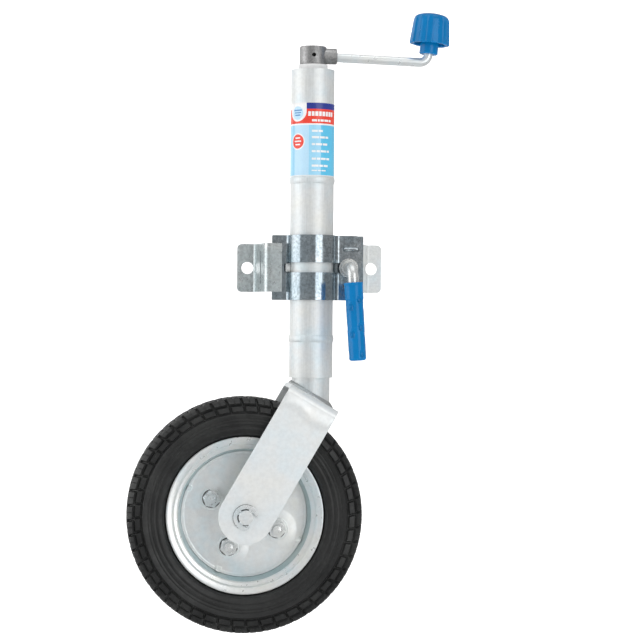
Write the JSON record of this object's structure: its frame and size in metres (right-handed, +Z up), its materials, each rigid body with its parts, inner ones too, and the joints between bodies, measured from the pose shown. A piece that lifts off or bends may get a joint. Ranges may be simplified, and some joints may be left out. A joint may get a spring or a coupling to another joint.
{
  "type": "trailer jockey wheel",
  "caption": "Wind-down support wheel on a telescopic tube leg with a top crank, a bent-strip fork, a solid tyre on a split rim, and a bolt-on split clamp with a screw handle.",
  "frame": {"origin": "midway between the two bolt holes of the mounting ears, on the plane that bolts against the trailer", "axes": "+Y out of the mounting plane into the trailer, +Z up the leg, +X along the row of bolt holes towards the clamp screw"},
  "size_m": [0.3563, 0.1112, 0.6901],
  "materials": {
    "zinc_plate": "bright zinc plate, pressed sheet",
    "zinc_tube": "bright zinc plate, drawn tube",
    "zinc_hardware": "bright zinc plate",
    "weld": "rippled, plated over",
    "blue_plastic": "glossy moulded",
    "label": "glossy printed film",
    "bare_steel": "oiled",
    "white_nylon": "satin",
    "cast_hub": "fine sand-cast skin, plated",
    "zinc_rod": "bright zinc plate",
    "zinc_fork": "bright zinc plate",
    "zinc_rim": "bright zinc plate with a faint blue tint",
    "black_nylon": "satin",
    "tyre_rubber": "satin moulded rubber"
  },
  "bodies": {
    "clamp": {"left_ear_bracket": "zinc_plate", "right_ear_bracket": "zinc_plate", "clamp_back_half": "zinc_plate", "tab_weld": "weld", "clamp_nut": "zinc_hardware", "flange_rivets": "zinc_hardware"},
    "strap": {"clamp_strap": "zinc_plate"},
    "washer": {"clamp_washer": "zinc_hardware"},
    "clamp_handle": {"clamp_screw": "zinc_hardware", "clamp_grip": "blue_plastic"},
    "leg": {"outer_tube": "zinc_tube", "tube_label": "label", "top_cap": "bare_steel", "bearing_upper_race": "bare_steel", "bearing_balls": "bare_steel", "thrust_washer": "white_nylon"},
    "crank": {"bearing_lower_race": "bare_steel", "lift_screw": "bare_steel", "crank_hub": "cast_hub", "hub_pin": "bare_steel", "crank_rod": "zinc_rod", "knob_push_nut": "bare_steel"},
    "knob": {"crank_knob": "blue_plastic"},
    "lift_nut": {"lift_nut": "bare_steel"},
    "fork": {"nut_retaining_ring": "bare_steel", "inner_tube": "zinc_tube", "fork": "zinc_fork", "fork_weld": "weld", "axle": "zinc_hardware", "near_axle_clip": "zinc_hardware", "far_axle_clip": "zinc_hardware", "near_spacer": "zinc_hardware", "far_spacer": "zinc_hardware"},
    "wheel": {"hub_tube": "zinc_rim", "near_bush": "black_nylon", "far_bush": "black_nylon", "near_wheel_disc": "zinc_rim", "far_wheel_disc": "zinc_rim", "near_rim": "zinc_rim", "far_rim": "zinc_rim", "tyre": "tyre_rubber", "wheel_bolts": "zinc_hardware", "wheel_nuts": "zinc_hardware"}
  },
  "joints": [
    {"name": "tube_slide", "type": "slide", "parent": "clamp", "child": "leg", "axis": [0, 0, 1], "range_m": [-0.056, 0.022]},
    {"name": "crank_turn", "type": "hinge", "parent": "leg", "child": "crank", "pos_m": [0, -0.032, 0.236], "axis": [0, 0, 1], "range_deg": [0, 19800]},
    {"name": "lift_slide", "type": "slide", "parent": "leg", "child": "lift_nut", "axis": [0, 0, -1], "range_m": [0, 0.22]},
    {"name": "fork_swivel", "type": "hinge", "parent": "lift_nut", "child": "fork", "pos_m": [0, -0.032, 0], "axis": [0, 0, 1], "continuous": true},
    {"name": "wheel_spin", "type": "hinge", "parent": "fork", "child": "wheel", "pos_m": [-0.0734, -0.032, -0.2736], "axis": [0, 1, 0], "continuous": true},
    {"name": "knob_spin", "type": "hinge", "parent": "crank", "child": "knob", "pos_m": [0.12964, -0.032, 0.2405], "axis": [0.0872, 0, 0.9962], "continuous": true},
    {"name": "clamp_screw_turn", "type": "hinge", "parent": "washer", "child": "clamp_handle", "pos_m": [0.041, -0.06, 0], "axis": [0, -1, 0], "range_deg": [0, 1440]},
    {"name": "washer_slide", "type": "slide", "parent": "clamp", "child": "washer", "axis": [0, -1, 0], "range_m": [0, 0.006]},
    {"name": "strap_swing", "type": "hinge", "parent": "clamp", "child": "strap", "pos_m": [-0.0336, -0.0371, 0], "axis": [0, 0, -1], "range_deg": [0, 3.8]}
  ],
  "couplings": [
    {"joint": "lift_slide", "follows": "crank_turn", "m_per_rad": 0.00063662},
    {"joint": "washer_slide", "follows": "clamp_screw_turn", "m_per_rad": 0.00023873},
    {"joint": "strap_swing", "follows": "clamp_screw_turn", "ratio": 0.0026388}
  ]
}
